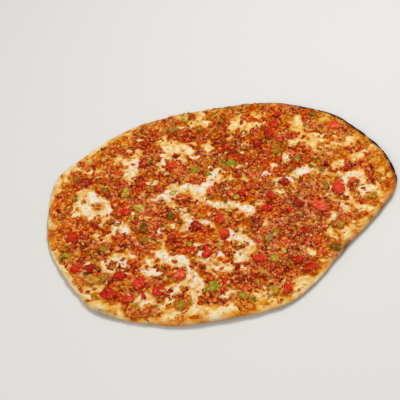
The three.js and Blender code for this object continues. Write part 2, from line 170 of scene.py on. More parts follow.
# How much the flake's dome and its number, and the grain's number and the distance to its middle, add to the
# tone, and what is added to all. The dome's share is a painted highlight on the flakes' tops, and the
# distance's share a painted shade in the gaps between the grains.
FLAKE_TONE_AND_PAINTED_LIGHT = (0.5, 0.46, 0.46, -0.6, -0.12)
DICE_SINK = 0.5  # the paste comes this far up the diced pieces' sides
DICE_BAND = (0.1, 0.6)  # between these values of the diced pieces' field
PASTE_TONE = 0.8  # of the paste's thin edge
PASTINESS = ((0.5, 11, 82), (0.42, 4.8, 83))
OILINESS = ((0.65, 9, 86), (0.5, 4.2, 87))
CLUMP_TONES = ((0.09, 18, 56), (0.14, 8, 84), (0.1, 4, 85))

# Each kind of crumb: spacing of the scatter, least and most length, detail of the shape, and the chance that
# it is there in the mince and on bare dough.
CRUMBS = {
    "mince_lumps": {"spacing": 4.4, "length": (3.2, 6.4), "subdivisions": 2, "keep": 0.65, "stray": 0.05},
    "mince_crumbs": {"spacing": 2.7, "length": (1.8, 3.8), "subdivisions": 1, "keep": 0.55, "stray": 0.12},
    "mince_grit": {"spacing": 2.0, "length": (0.9, 1.9), "subdivisions": 1, "keep": 0.25, "stray": 0.2},
}
OILY_CRUMBS = 0.03  # share of golden crumbs
CRUMB_TONE = (0.44, 0.3)  # how light the crumbs are on the whole, and how unlike each other
CRUMB_PAINTED_SHADE = 0.48  # painted light and shade: how much lighter a crumb's top is than its middle, and its foot darker
CRUMB_DEPTH = 0.3  # a crumb's middle lies between this share of its height under the paste's surface
CRUMB_PROUD = 0.2  # and this share above it
CRUMB_CUTS = 4  # flat cuts round each crumb
CRUMB_ROUGHNESS = 0.9
CRUMB_WIDTHS = (0.45, 0.9)  # as shares of the length
CRUMB_HEIGHTS = (0.3, 0.55)
CRUMB_TILT = 0.4  # typical tilt in radians
SHAPES = 16  # how many different shapes each kind of crumb and bit has
ON_DICE = 0.35  # a crumb lies on a diced piece where their field is higher than this

# ---- The rest of the topping ---------------------------------------------------------------------

# Each kind of small piece: spacing of the scatter, share kept, least and most length, and its width and
# height as shares of that.
BITS = {
    "tomato_bits": {"spacing": 9, "keep": 0.68, "length": (3.2, 9.0), "width": (0.4, 0.85), "height": 0.26},
    "pepper_bits": {"spacing": 9, "keep": 0.5, "length": (3.4, 8.5), "width": (0.4, 0.8), "height": 0.24},
    "onion_shreds": {"spacing": 7, "keep": 0.2, "length": (2.6, 7.0), "width": (0.25, 0.55), "height": 0.18},
    "herb_flecks": {"spacing": 20, "keep": 0.6, "length": (1.2, 2.6), "width": (0.5, 0.9), "height": 0.16},
}
BIT_CUTS = 6  # flat cuts round each piece
BIT_BEND = 0.09  # how far it is bent
BIT_ROUGHNESS = 0.7
BIT_TILT = 0.35
BIT_LIFT = 0.15  # how far its middle lies at least over what it lies on
DICE_CREASE = 0.78  # how sharp the large pieces' edges stay, from 0 to 1
DICE_TONES = (0.38, 0.66)  # how dark and how pale they are, from 0 to 1, but for the darkest and palest
DARK_DICE = (
    "tomato_17", "tomato_19", "tomato_21", "tomato_25", "tomato_27", "tomato_30",
    "green_pepper_07", "green_pepper_11", "green_pepper_22",
)
DARK_TONE = 0.2
PALE_DICE = (
    "tomato_02", "tomato_03", "tomato_11", "tomato_20",
    "green_pepper_02", "green_pepper_04", "green_pepper_06", "green_pepper_21",
)
PALE_TONE = 0.8
FRESH_DICE = ("green_pepper_01", "green_pepper_02", "green_pepper_09")  # these are greener
FRESH_BITS = 0.35  # and so is this share of the bits of pepper
DICE_GROWTH = (1.06, 1.06, 1.04)  # makes up for what rounding takes off
WRINKLES = ((1.0, 5.0), (0.45, 1.8))  # of their skin: share of the height, and size
TOMATO_WRINKLES = 1.0  # the height itself
PEPPER_WRINKLES = 0.8
# The burnt specks: spacing of the scatter, share kept, and least and most length.
SPECKS = {"spacing": 7.0, "keep": 0.1, "length": (0.4, 1.1)}

# ---- Colours, as seen in daylight ----------------------------------------------------------------

DOUGH_STOPS = (
    (0.0, "b84a00"),
    (0.22, "d67804"),
    (0.42, "e2a238"),
    (0.58, "e6b86e"),
    (0.72, "eed09a"),
    (0.9, "f0e0c4"),
    (1.0, "f0e8dc"),
)
BUTTERY_STOPS = (
    (0.0, "b84a00"),
    (0.22, "d67804"),
    (0.42, "e2a238"),
    (0.58, "e8b45c"),
    (0.72, "eec67a"),
    (0.9, "f4da9c"),
    (1.0, "f4e2b6"),
)
TOASTED = "a86648"
JUICE = "c8580a"
BURNT = "220e06"
UNDERSIDE = "e8cb9c"
UNDERSIDE_BROWNED = "cf9d5e"
UNDERSIDE_SPOTS = "8d5427"
MEAT_STOPS = ((0.0, "561200"), (0.25, "923208"), (0.5, "c25c26"), (0.75, "de884a"), (1.0, "ecb07a"))
PASTE_STOPS = ((0.0, "6c1000"), (0.25, "ac2800"), (0.5, "da4a00"), (0.75, "ee7410"), (1.0, "f49a3c"))
OIL_STOPS = ((0.0, "803400"), (0.3, "c06600"), (0.6, "e4901a"), (1.0, "f2b850"))
TOMATO_STOPS = ((0.0, "720400"), (0.3, "ae1200"), (0.55, "d62608"), (0.8, "e64626"), (1.0, "f08454"))
PEPPER_STOPS = ((0.0, "503602"), (0.3, "7e6006"), (0.6, "a88614"), (0.85, "ccae36"), (1.0, "e6d07c"))
FRESH_STOPS = ((0.0, "363e04"), (0.3, "5a6806"), (0.6, "8c9410"), (0.85, "b6b834"), (1.0, "dedc88"))
ONION_STOPS = ((0.0, "c87420"), (0.5, "e0a050"), (1.0, "f0cc8a"))
HERB_STOPS = ((0.0, "1f3511"), (1.0, "4f7a25"))
SPECK_STOPS = ((0.0, "1b0d08"), (1.0, "4a2413"))
FLOOR = "e4e3e0"
MASK_STOPS = ("000000", "ffffff")  # of the ramps that turn a noise into a mask

# The noises in the materials: the size of their features, and the detail.
DOUGH_PATCHES = (3.4, 5.0)
DOUGH_BUMPS = (0.9, 5.0)
UNDERSIDE_PATCHES = (35.0, 3.0)
UNDERSIDE_SPECKLES = (8.0, 6.0)
MINCE_BLOTCHES = (1.1, 4.0)
MINCE_BUMPS = (0.7, 4.0)
BUMP_DETAIL = 4.0  # of the other toppings' bumps, whose size is given with their looks
TOPPING_BLOTCHES = (2.4, 5.0)
JUICE_SMEARS = (3.8, 4.0)
BUMP_HEIGHT = 0.3  # of the dough's and the mince's bumps

MINCE_ROUGHNESS = 0.28
SHINE = 0.06  # specular level of the mince and of what lies on it
SOFT = {"Subsurface_Weight": 0.35, "Subsurface_Scale": 1.5 * MM, "Coat_Weight": 0.12, "Coat_Roughness": 0.12}
# Each topping's colours, its roughness, its bumps' size and height, and how much juice is smeared on it.
TOPPINGS = {
    "tomato": {"stops": TOMATO_STOPS, "roughness": 0.34, "bumps": (1.1, 0.4), "juice": 0.4, **SOFT},
    "green_pepper": {
        "stops": PEPPER_STOPS,
        "fresh": FRESH_STOPS,
        "roughness": 0.38,
        "bumps": (1.0, 0.3),
        "juice": 0.7,
        **SOFT,
    },
    "onion": {"stops": ONION_STOPS, "roughness": 0.35, "bumps": (0.8, 0.1)},
    "herb": {"stops": HERB_STOPS, "roughness": 0.5, "bumps": (0.5, 0.1)},
    "burnt": {"stops": SPECK_STOPS, "roughness": 0.7, "bumps": (0.4, 0.1)},
}


# ---- Numbers -------------------------------------------------------------------------------------


def lerp(a, b, share):
    return a + (b - a) * share


def smoothstep(low, high, value):
    """Rises smoothly from 0 at low to 1 at high. It falls with the value where high is the smaller."""
    share = np.clip((value - low) / (high - low), 0.0, 1.0)
    return share * share * (3.0 - 2.0 * share)


def hash01(i, j, seed):
    """A number from 0 to 1 that depends only on the two whole numbers and the seed."""
    h = i.astype(np.uint32) * np.uint32(374761393) + j.astype(np.uint32) * np.uint32(668265263)
    h = h + np.uint32(seed * 2654435761 % 2**32)
    h = (h ^ (h >> np.uint32(13))) * np.uint32(1274126177)
    return (h ^ (h >> np.uint32(16))) / 2.0**32


def noise(x, y, size, seed):
    """Smooth noise from -1 to 1, with one bump every `size` millimetres."""
    u, v = x / size, y / size
    i, j = np.floor(u).astype(np.int64), np.floor(v).astype(np.int64)
    across, up = smoothstep(0, 1, u - i), smoothstep(0, 1, v - j)
    near = lerp(hash01(i, j, seed), hash01(i + 1, j, seed), across)
    far = lerp(hash01(i, j + 1, seed), hash01(i + 1, j + 1, seed), across)
    return 2.0 * lerp(near, far, up) - 1.0


def layered(x, y, layers):
    """The sum of layers of noise, each with its height, the size of its bumps and its seed."""
    return sum(height * noise(x, y, size, seed) for height, size, seed in layers)


def wander(x, y, far, size, seed_x, seed_y):
    """Places moved by up to `far` along x and along y."""
    return x + far * noise(x, y, size, seed_x), y + far * noise(x, y, size, seed_y)


def cells(x, y, size, seed):
    """Distance to the nearest of points scattered one to a square cell, in cells, and that point's number."""
    u, v = x / size, y / size
    i, j = np.floor(u).astype(np.int64), np.floor(v).astype(np.int64)
    nearest = np.full(u.shape, 9.0)
    number = np.zeros(u.shape)
    for a, b in ((i + di, j + dj) for di in (-1, 0, 1) for dj in (-1, 0, 1)):
        distance = np.hypot(a + hash01(a, b, seed) - u, b + hash01(a, b, seed + 1) - v)
        closer = distance < nearest
        nearest = np.where(closer, distance, nearest)
        number = np.where(closer, hash01(a, b, seed + 2), number)
    return nearest, number


# ---- Fields read off the solids ------------------------------------------------------------------

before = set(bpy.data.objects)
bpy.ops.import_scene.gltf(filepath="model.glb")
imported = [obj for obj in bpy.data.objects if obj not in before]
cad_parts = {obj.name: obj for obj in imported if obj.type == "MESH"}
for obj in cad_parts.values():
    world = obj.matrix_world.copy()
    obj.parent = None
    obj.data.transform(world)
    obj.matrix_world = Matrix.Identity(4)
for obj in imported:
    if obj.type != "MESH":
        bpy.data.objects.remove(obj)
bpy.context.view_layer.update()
TOMATOES = sorted(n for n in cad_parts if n.startswith("tomato_"))
PEPPERS = sorted(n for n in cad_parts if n.startswith("green_pepper_"))

BREAD_CORNERS = np.array([v.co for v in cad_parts["flatbread"].data.vertices]) / MM
GRID_LOW = np.floor(BREAD_CORNERS.min(0)[:2] - FIELD_MARGIN)
GRID_HIGH = np.ceil(BREAD_CORNERS.max(0)[:2] + FIELD_MARGIN)
GRID_X = np.arange(GRID_LOW[0], GRID_HIGH[0] + FIELD_STEP, FIELD_STEP)
GRID_Y = np.arange(GRID_LOW[1], GRID_HIGH[1] + FIELD_STEP, FIELD_STEP)


def heights(nodes, side):
    """Height of the nodes' outermost surface over the whole grid, from above (side 1) or below (side -1), and
    nan where there is no material."""
    points, faces = [], []
    for node in nodes:
        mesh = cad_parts[node].data
        start = len(points)
        points.extend(v.co for v in mesh.vertices)
        faces.extend([start + k for k in f.vertices] for f in mesh.polygons)
    tree = BVHTree.FromPolygons(points, faces)
    inwards = Vector((0, 0, -side))
    result = np.full((len(GRID_Y), len(GRID_X)), np.nan)
    for row, y in enumerate(GRID_Y):
        for column, x in enumerate(GRID_X):
            hit = tree.ray_cast(Vector((x * MM, y * MM, side * RAY_HEIGHT * MM)), inwards)[0]
            if hit:
                result[row, column] = hit.z / MM
    return result


def smoothed(values, radius):
    reach = int(3 * radius / FIELD_STEP)
    kernel = np.exp(-0.5 * (np.arange(-reach, reach + 1) * FIELD_STEP / radius) ** 2)
    for axis in (0, 1):
        values = np.apply_along_axis(np.convolve, axis, values, kernel / kernel.sum(), mode="same")
    return values


def spread(values, radius):
    """The known values smoothed over a radius and carried a little way into what is unknown."""
    known = np.isfinite(values)
    weight = smoothed(known.astype(float), radius)
    return smoothed(np.where(known, values, 0.0), radius) / np.maximum(weight, 1e-6)


def sample(values, x, y):
    """The grid's values at any places, read between its points."""
    u = np.clip((x - GRID_X[0]) / FIELD_STEP, 0, len(GRID_X) - 1.001)
    v = np.clip((y - GRID_Y[0]) / FIELD_STEP, 0, len(GRID_Y) - 1.001)
    i, j = u.astype(int), v.astype(int)
    near = lerp(values[j, i], values[j, i + 1], u - i)
    far = lerp(values[j + 1, i], values[j + 1, i + 1], u - i)
    return lerp(near, far, v - j)


def edge_corners():
    """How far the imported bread's edge is from the middle, at even steps of direction."""
    x, y = BREAD_CORNERS[:, 0], BREAD_CORNERS[:, 1]
    corner = np.rint(np.arctan2(y, x) / TAU * EDGE_CORNERS).astype(int) % EDGE_CORNERS
    radii = np.zeros(EDGE_CORNERS)
    np.maximum.at(radii, corner, np.hypot(x, y))
    return radii


def small_patches(x, y):
    """Whether a place lies in one of the small bare patches."""
    inside = np.zeros(x.shape, bool)
    for x0, y0, x1, y1, width in SMALL_PATCHES:
        along = ((x - x0) * (x1 - x0) + (y - y0) * (y1 - y0)) / math.hypot(x1 - x0, y1 - y0) ** 2
        along = np.clip(along, 0, 1)
        inside |= np.hypot(x - lerp(x0, x1, along), y - lerp(y0, y1, along)) < width / 2 + PATCH_MARGIN
    return inside


BREAD_TOP = heights(["flatbread"], 1)
BREAD_BOTTOM = heights(["flatbread"], -1)
MEAT_TOP = heights(["meat_topping"], 1)
DICE_BOTTOM = heights(TOMATOES + PEPPERS, -1)
DICE_TOP = heights(TOMATOES + PEPPERS, 1)
EDGE_RADII = edge_corners()

ON_BREAD = smoothed(np.isfinite(BREAD_TOP).astype(float), FIELD_STEP)
TOP = spread(np.where(ON_BREAD > WELL_INSIDE, BREAD_TOP, np.nan), BREAD_BLUR)
BOTTOM = spread(BREAD_BOTTOM, BREAD_BLUR)
MINCE = (np.isfinite(MEAT_TOP) & ~small_patches(*np.meshgrid(GRID_X, GRID_Y))).astype(float)
BORDER = smoothed(MINCE, BORDER_BLUR)
BARE = 1.0 - smoothed(MINCE, BARE_BLUR)
THICKNESS = spread(MEAT_TOP - BREAD_TOP, THICKNESS_BLUR)
DICE = smoothed(np.isfinite(DICE_BOTTOM).astype(float), DICE_BLUR)
UNDER_DICE = spread(DICE_BOTTOM - BREAD_TOP, UNDER_DICE_BLUR)
OVER_DICE = spread(DICE_TOP, DICE_BLUR)


def edge_radius(turn):
    """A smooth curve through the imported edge's corners, a little uneven as torn and stretched dough is."""
    at = turn / TAU * EDGE_CORNERS
    k = np.floor(at).astype(int)
    f = at - k
    a, b, c, d = (EDGE_RADII[(k + n) % EDGE_CORNERS] for n in (-1, 0, 1, 2))
    radius = b + 0.5 * f * (c - a + f * (2 * a - 5 * b + 4 * c - d + f * (3 * (b - c) + d - a)))
    x, y = radius * np.cos(turn), radius * np.sin(turn)
    return radius + layered(x, y, EDGE_WOBBLE)


def edge_inset(x, y):
    return edge_radius(np.arctan2(y, x)) - np.hypot(x, y)


def wandering(values, x, y):
    """The grid's values read at places that wander a little, so that smooth borders come out ragged."""
    for bends in RAGGED:
        x, y = wander(x, y, *bends)
    return sample(values, x, y)


def dough_top(x, y):
    """Height of the dough's top, with bubbles where it is bare."""
    bare = sample(BARE, x, y)
    distance, number = cells(x, y, BUBBLE_SPACING, BUBBLE_SEED)
    dome = np.sqrt(np.clip(1.0 - (distance / BUBBLE_RADIUS) ** 2, 0, 1))
    bubble = dome * np.clip(BUBBLE_RISE[0] * number - BUBBLE_RISE[1], 0, 1)
    rim = np.exp(-edge_inset(x, y) / RIM_REACH)
    grain = layered(x, y, DOUGH_GRAIN) + rim * layered(x, y, RIM_GRAIN)
    return sample(TOP, x, y) + BUBBLE_HEIGHT * bare * bubble + grain


def towards(x, y, stretches):
    """How strongly the rim is marked towards a place, from stretches of directions and their strengths."""
    degrees = np.degrees(np.arctan2(y, x))
    result = np.zeros(x.shape)
    for low, high, strength in stretches:
        middle, half = (low + high) / 2, (high - low) / 2
        off = np.abs((degrees - middle + 180) % 360 - 180)
        fade = smoothstep(half + DIRECTION_FADE, half - DIRECTION_FADE, off)
        result = np.maximum(result, strength * fade)
    return result


def charring(x, y, inset):
    """How burnt the edge is, from 0 to 1."""
    reach = CHAR_REACH * (1 + layered(x, y, CHAR_WAVES))
    whole = smoothstep(-1.0, -0.2, layered(x, y, CHAR_BREAKS))
    return towards(x, y, CHARRED) * whole * smoothstep(reach, 0.3 * reach, inset)


def around(place, reach, x, y):
    """1 at a place, fading to 0 around it."""
    return np.exp(-(np.hypot(x - place[0], y - place[1]) / reach) ** 2)


def thickest(x, y):
    return around(THICKEST, THICKEST_REACH, x, y)


def reddest(x, y):
    return around(REDDEST, REDDEST_REACH, x, y)


def thin_band(x, y):
    """1 near the rim, fading to 0 further in, and 0 where the mince is reddest."""
    return smoothstep(*THIN_BAND, edge_inset(x, y)) * (1.0 - reddest(x, y))


def density(x, y):
    """Share of the flakes of mince that are there: few on bare dough, and nearly all deep in the mince."""
    cover = wandering(BORDER, x, y)
    inset = edge_inset(x, y)
    charred = towards(x, y, CHARRED)
    to_rim = smoothstep(*RIM_SPREAD_BAND, inset) * (1.0 - charred)
    cover = cover + to_rim * RIM_SPREAD / BORDER_BLUR * (0.5 - np.abs(cover - 0.5))
    lace = lerp(0.15, 1.0, smoothstep(*LACE_BAND, layered(x, y, LACE)))
    sparse = SPARSE * (1.0 - 0.8 * thickest(x, y)) * lace
    sparse = np.maximum(sparse, charred * smoothstep(*CHARRED_BAND, inset))
    stray = STRAY_FLAKES * smoothstep(*STRAY_BAND, layered(x, y, STRAYS))
    return np.clip(1.3 * (cover - 0.15) + stray * (1.0 - cover), 0, 1) * (1.0 - sparse)


def flakes(x, y):
    """Height of the mince's flakes and grains at a place, how far the flake is there, and its tone, which
    carries painted light on the flakes' domes and painted shade between the grains.
    """
    u, v = wander(x, y, *WARP)
    distance, number = cells(u, v, FLAKE, FLAKE_SEED)
    dome = np.clip(1.0 - (distance / FLAKE_RADIUS) ** 2, 0, 1)
    to_grain, grain = cells(u, v, GRAIN, GRAIN_SEED)
    height = FLAKE_RISE * dome * (0.35 + 0.9 * number) + GRAIN_RISE * (0.7 - to_grain)
    drawn = number * 13.7 % 1.0  # another number for the same flake
    there = smoothstep(-0.06, 0.06, density(x, y) - lerp(drawn, grain, 0.2))
    dome_highlight, by_number, by_grain, gap_shade, base = FLAKE_TONE_AND_PAINTED_LIGHT
    # Painted light and shade: lighter on the flakes' domes, darker away from the grains' middles.
    tone = dome_highlight * dome + by_number * number + by_grain * grain + gap_shade * to_grain + base
    return height, there, tone


def mince_rise(x, y):
    """Height of the paste's top over the dough, and its tone. It dives into the dough where flakes are
    missing, and reaches up to the underside of the diced pieces."""
    height, there, tone = flakes(x, y)
    paste = PASTE_SHARE * sample(THICKNESS, x, y) + layered(x, y, PASTE_WAVES) + height
    paste = lerp(-PASTE_DIP, np.maximum(paste, PASTE_LEAST), there)
    bed = sample(UNDER_DICE, x, y) + DICE_SINK
    return lerp(paste, bed, smoothstep(*DICE_BAND, sample(DICE, x, y))), tone


def surface(x, y):
    """Height of the dough, or of the paste where that lies higher."""
    return dough_top(x, y) + np.maximum(mince_rise(x, y)[0], 0.0)


# ---- Meshes --------------------------------------------------------------------------------------


def mesh_object(name, points, faces, shader, slot, smooth=True, **attributes):
    """A mesh that rides on the bread's body, from points in millimetres, with a number for each point under
    each attribute's name."""
    mesh = bpy.data.meshes.new(name)
    mesh.from_pydata(points * MM, [], faces)
    if smooth:
        mesh.shade_smooth()
    for key, values in attributes.items():
        mesh.attributes.new(key, "FLOAT", "POINT").data.foreach_set("value", values.astype(np.float32))
    mesh.materials.append(shader)
    piece = bpy.data.objects.new(name, mesh)
    bpy.context.scene.collection.objects.link(piece)
    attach(piece, "root")
    return piece


def disc(rings):
    """Rings of points round a middle, each with 6 more than the last, so that the triangles are about even.
    Gives the points' shares of the way out, their turns, and the faces."""
    share, turn, faces = [0.0], [0.0], []
    inner = 0
    for ring in range(1, rings + 1):
        outer = len(share)
        count = 6 * ring
        before = max(count - 6, 1)
        share.extend([ring / rings] * count)
        turn.extend(TAU * k / count for k in range(count))
        for k in range(count):
            side, step = divmod(k, ring)
            low = inner + (side * (ring - 1) + step) % before
            following = outer + (k + 1) % count
            faces.append((low, outer + k, following))
            if step < ring - 1:
                faces.append((low, following, inner + (side * (ring - 1) + step + 1) % before))
        inner = outer
    return np.array(share), np.array(turn), faces


def polar(share, turn, inset=0.0):
    radius = share * (edge_radius(turn) - inset)
    return radius * np.cos(turn), radius * np.sin(turn)


# ---- Materials -----------------------------------------------------------------------------------


def linear(colour):
    """A colour written as six hexadecimal digits, as the linear numbers that shaders take."""
    channels = [int(colour[k : k + 2], 16) / 255 for k in (0, 2, 4)]
    return [c / 12.92 if c <= 0.04045 else ((c + 0.055) / 1.055) ** 2.4 for c in channels] + [1.0]


class Shader:
    """A material with a Principled shader, and a call for each kind of node that it is made with."""

    def __init__(self, name, **settings):
        self.material = bpy.data.materials.new(name)
        self.material.use_nodes = True
        self.tree = self.material.node_tree
        self.main = self.tree.nodes["Principled BSDF"]
        for socket, value in settings.items():
            self.main.inputs[socket.replace("_", " ")].default_value = value
        self.place = self.tree.nodes.new("ShaderNodeTexCoord").outputs["Object"]

    def node(self, kind, inputs, **settings):
        made = self.tree.nodes.new("ShaderNode" + kind)
        for key, value in settings.items():
            setattr(made, key, value)
        for key, value in inputs.items():
            if isinstance(value, bpy.types.NodeSocket):
                self.tree.links.new(value, made.inputs[key])
            else:
                made.inputs[key].default_value = value
        return made

    def number(self, name):
        return self.node("Attribute", {}, attribute_name=name).outputs["Fac"]

    def noise(self, size, detail):
        """Noise from 0 to 1 with features of that many millimetres."""
        inputs = {"Vector": self.place, "Scale": 1 / (size * MM), "Detail": detail}
        return self.node("TexNoise", inputs).outputs["Fac"]

    def math(self, operation, a, b, clamp=False):
        return self.node("Math", {0: a, 1: b}, operation=operation, use_clamp=clamp).outputs[0]

    def added(self, value, amount, variation):
        """The value moved up and down by a share of a variation whose middle is 0.5."""
        off_middle = self.math("SUBTRACT", variation, 0.5)
        return self.math("ADD", value, self.math("MULTIPLY", off_middle, amount), clamp=True)

    def ramp(self, value, stops):
        made = self.node("ValToRGB", {"Fac": value})
        elements = made.color_ramp.elements
        while len(elements) < len(stops):
            elements.new(1.0)
        for element, (at, colour) in zip(elements, stops):
            element.position = at
            element.color = linear(colour)
        return made.outputs["Color"]

    def mask(self, variation, low, high):
        """0 where the variation is under the low value, 1 where it is over the high one."""
        return self.ramp(variation, ((low, MASK_STOPS[0]), (high, MASK_STOPS[1])))

    def mixed(self, share, a, b):
        a, b = (linear(c) if isinstance(c, str) else c for c in (a, b))
        return self.node("Mix", {0: share, 6: a, 7: b}, data_type="RGBA").outputs[2]

    def finish(self, colour, bump, bump_height, roughness=None):
        """The material with its colour, its bumps and, where it varies, its roughness."""
        self.tree.links.new(colour, self.main.inputs["Base Color"])
        if roughness is not None:
            self.tree.links.new(roughness, self.main.inputs["Roughness"])
        inputs = {"Height": bump, "Distance": bump_height * MM, "Strength": 1.0}
        self.tree.links.new(self.node("Bump", inputs).outputs["Normal"], self.main.inputs["Normal"])
        return self.material


def dough_material():
    s = Shader("baked_dough", Specular_IOR_Level=0.0)
    patchy = s.noise(*DOUGH_PATCHES)
    bare = s.added(s.math("SUBTRACT", s.number("bare"), 0.1), 1.3, patchy)
    colour = s.mixed(s.number("butter"), s.ramp(bare, DOUGH_STOPS), s.ramp(bare, BUTTERY_STOPS))
    toasting = s.math("MULTIPLY", s.number("rim"), s.math("MULTIPLY", patchy, 1.9), clamp=True)
    colour = s.mixed(toasting, colour, TOASTED)
    browned = s.mask(s.noise(*UNDERSIDE_PATCHES), 0.35, 0.7)
    spots = s.mask(s.noise(*UNDERSIDE_SPECKLES), 0.5, 0.72)
    beneath = s.mixed(spots, s.mixed(browned, UNDERSIDE, UNDERSIDE_BROWNED), UNDERSIDE_SPOTS)
    colour = s.mixed(s.number("under"), colour, beneath)
    colour = s.mixed(s.number("char"), colour, BURNT)
    roughness = s.math("ADD", s.math("MULTIPLY", bare, 0.4, clamp=True), 0.3)
    return s.finish(colour, s.noise(*DOUGH_BUMPS), BUMP_HEIGHT, roughness)


def mince_material(name):
    """Brown meat where the attribute "paste" is 0, red-orange pepper paste where it is 1, and either of
    them golden where the attribute "oil" is 1."""
    s = Shader(name, Roughness=MINCE_ROUGHNESS, Specular_IOR_Level=SHINE)
    tone = s.added(s.number("tone"), 0.9, s.noise(*MINCE_BLOTCHES))
    colour = s.mixed(s.number("paste"), s.ramp(tone, MEAT_STOPS), s.ramp(tone, PASTE_STOPS))
    colour = s.mixed(s.number("oil"), colour, s.ramp(tone, OIL_STOPS))
    return s.finish(colour, s.noise(*MINCE_BUMPS), BUMP_HEIGHT)


def topping_material(name, stops, roughness, bumps, juice=0.0, fresh=None, **settings):
    """A material whose colour follows each piece's tone, with blotches smaller than the piece, and smeared
    here and there with the mince's juice. With stops for fresh pieces, those have the attribute "fresh"."""
    s = Shader(name, Roughness=roughness, Specular_IOR_Level=SHINE, **settings)
    tone = s.added(s.number("tone"), 1.3, s.noise(*TOPPING_BLOTCHES))
    smeared = s.mask(s.noise(*JUICE_SMEARS), 0.48, 0.64)
    colour = s.ramp(tone, stops)
    if fresh:
        colour = s.mixed(s.number("fresh"), colour, s.ramp(tone, fresh))
    colour = s.mixed(s.math("MULTIPLY", smeared, juice), colour, JUICE)
    bump_size, bump_height = bumps
    return s.finish(colour, s.noise(bump_size, BUMP_DETAIL), bump_height)


# ---- The dough -----------------------------------------------------------------------------------


def bareness(x, y, inset):
    """How free of oil and juice the dough is: 0 under the mince, 1 where it is floury."""
    floury = towards(x, y, FLOURY_EDGE)
    bare = wandering(BARE, x, y) + layered(x, y, STAINS)
    flakes_there = density(x, y)
    gap = GAP_PALENESS * np.clip(0.75 + layered(x, y, GAP_WAVES), 0, 1.2) * smoothstep(0.8, 0.3, bare)
    bare = bare + gap * (1.0 - flakes_there) * (1.0 - bare)
    bare = bare * (1.0 - STRAY_STAINS * smoothstep(0.0, 0.5, flakes_there))
    bare = np.maximum(bare, lerp(*RIM_PALENESS, floury) * smoothstep(*RIM_PALE_BAND, inset))
    oily_rim = smoothstep(*RIM_OIL_BAND, inset) * (0.6 + layered(x, y, RIM_OIL_WAVES)) * (1.0 - floury)
    bare = bare - RIM_OIL * oily_rim
    return bare - BACK_OIL * smoothstep(*BACK, y) * smoothstep(0.2, 0.6, bare)


def dough_attributes(x, y):
    """How bare, yellow, toasted and burnt the dough is at each place."""
    inset = edge_inset(x, y)
    butter = smoothstep(*BUTTERY_BAND, inset) + BACK_BUTTER * smoothstep(*BACK, y)
    butter = np.clip(butter + layered(x, y, BUTTERY_WAVES), 0, 1)
    toasted = lerp(TOASTED_LEAST, 1.0, towards(x, y, TOASTED_EDGE)) * (0.8 + layered(x, y, TOASTED_WAVES))
    rim = toasted * smoothstep(RIM_REACH, 0.5, inset)
    return {"bare": bareness(x, y, inset), "butter": butter, "rim": rim, "char": charring(x, y, inset)}


def lower_rings(turn, top):
    """Rings of points that go on from the top's edge, round the bread's edge and in under it."""
    bottom = sample(BOTTOM, *polar(1.0, turn, EDGE_ROUNDING))
    rings = []
    for band in range(1, 2 * EDGE_BANDS):
        angle = band / EDGE_BANDS * math.pi / 2
        x, y = polar(1.0, turn, EDGE_ROUNDING * (1 - math.sin(angle)))
        rings.append(np.stack([x, y, lerp(bottom, top, 0.5 + 0.5 * math.cos(angle))], 1))
    for share in (1.0,) + UNDERSIDE_SHARES:
        x, y = polar(share, turn, EDGE_ROUNDING)
        rings.append(np.stack([x, y, sample(BOTTOM, x, y)], 1))
    return rings


def make_dough(shader):
    share, turn, faces = disc(DOUGH_RINGS)
    x, y = polar(share, turn, EDGE_ROUNDING)
    z = dough_top(x, y)
    count = 6 * DOUGH_RINGS  # points in the last ring of the top and in each ring below it
    rings = lower_rings(turn[-count:], z[-count:])
    points = np.concatenate([np.stack([x, y, z], 1), *rings, np.zeros((1, 3))])
    last = len(points) - 1
    for start in range(len(share) - count, last - count, count):
        for k in range(count):
            a, b = start + k, start + (k + 1) % count
            faces.append((a, a + count, b + count))
            faces.append((a, b + count, b))
    faces.extend((last - count + k, last, last - count + (k + 1) % count) for k in range(count))

    under = np.zeros(len(points))
    under[len(share) + EDGE_BANDS * count :] = 1.0
    attributes = dough_attributes(points[:, 0], points[:, 1])
    piece = mesh_object("dough", points, faces, shader, "baked_dough", under=under, **attributes)
    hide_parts("flatbread")


# ---- The mince -----------------------------------------------------------------------------------


def pastiness(x, y):
    """How much of the mince at a place is red paste, from 0 to 1."""
    share = 0.6 - 0.3 * thickest(x, y) + 0.3 * reddest(x, y)
    return np.clip(share + layered(x, y, PASTINESS), 0, 1)


def oiliness(x, y):
    """How golden with oil and pepper juice the mince is, from 0 to 1."""
    oil = smoothstep(0.05, 0.6, layered(x, y, OILINESS))
    return np.clip(0.75 * oil + 0.3 * thin_band(x, y), 0, 1) * (1.0 - 0.75 * thickest(x, y))


def clump_tone(x, y):
    """How much lighter or darker the mince is from place to place."""
    return 0.07 * thin_band(x, y) - 0.13 * reddest(x, y) + layered(x, y, CLUMP_TONES)


def make_paste(shader):
    share, turn, faces = disc(PASTE_RINGS)
    x, y = polar(share, turn, EDGE_ROUNDING)
    above, tone = mince_rise(x, y)
    faces = np.array(faces)
    faces = faces[(above[faces] > -0.9 * PASTE_DIP).any(1)]
    used, faces = np.unique(faces, return_inverse=True)
    x, y, above, tone = x[used], y[used], above[used], tone[used]
    points = np.stack([x, y, dough_top(x, y) + above], 1)
    tone = lerp(PASTE_TONE, tone + clump_tone(x, y), smoothstep(0.0, 0.8, above))
    attributes = {"tone": np.clip(tone, 0, 1), "paste": pastiness(x, y), "oil": oiliness(x, y)}
    piece = mesh_object("mince_paste", points, faces.reshape(-1, 3), shader, "minced_meat", **attributes)
    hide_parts("meat_topping")


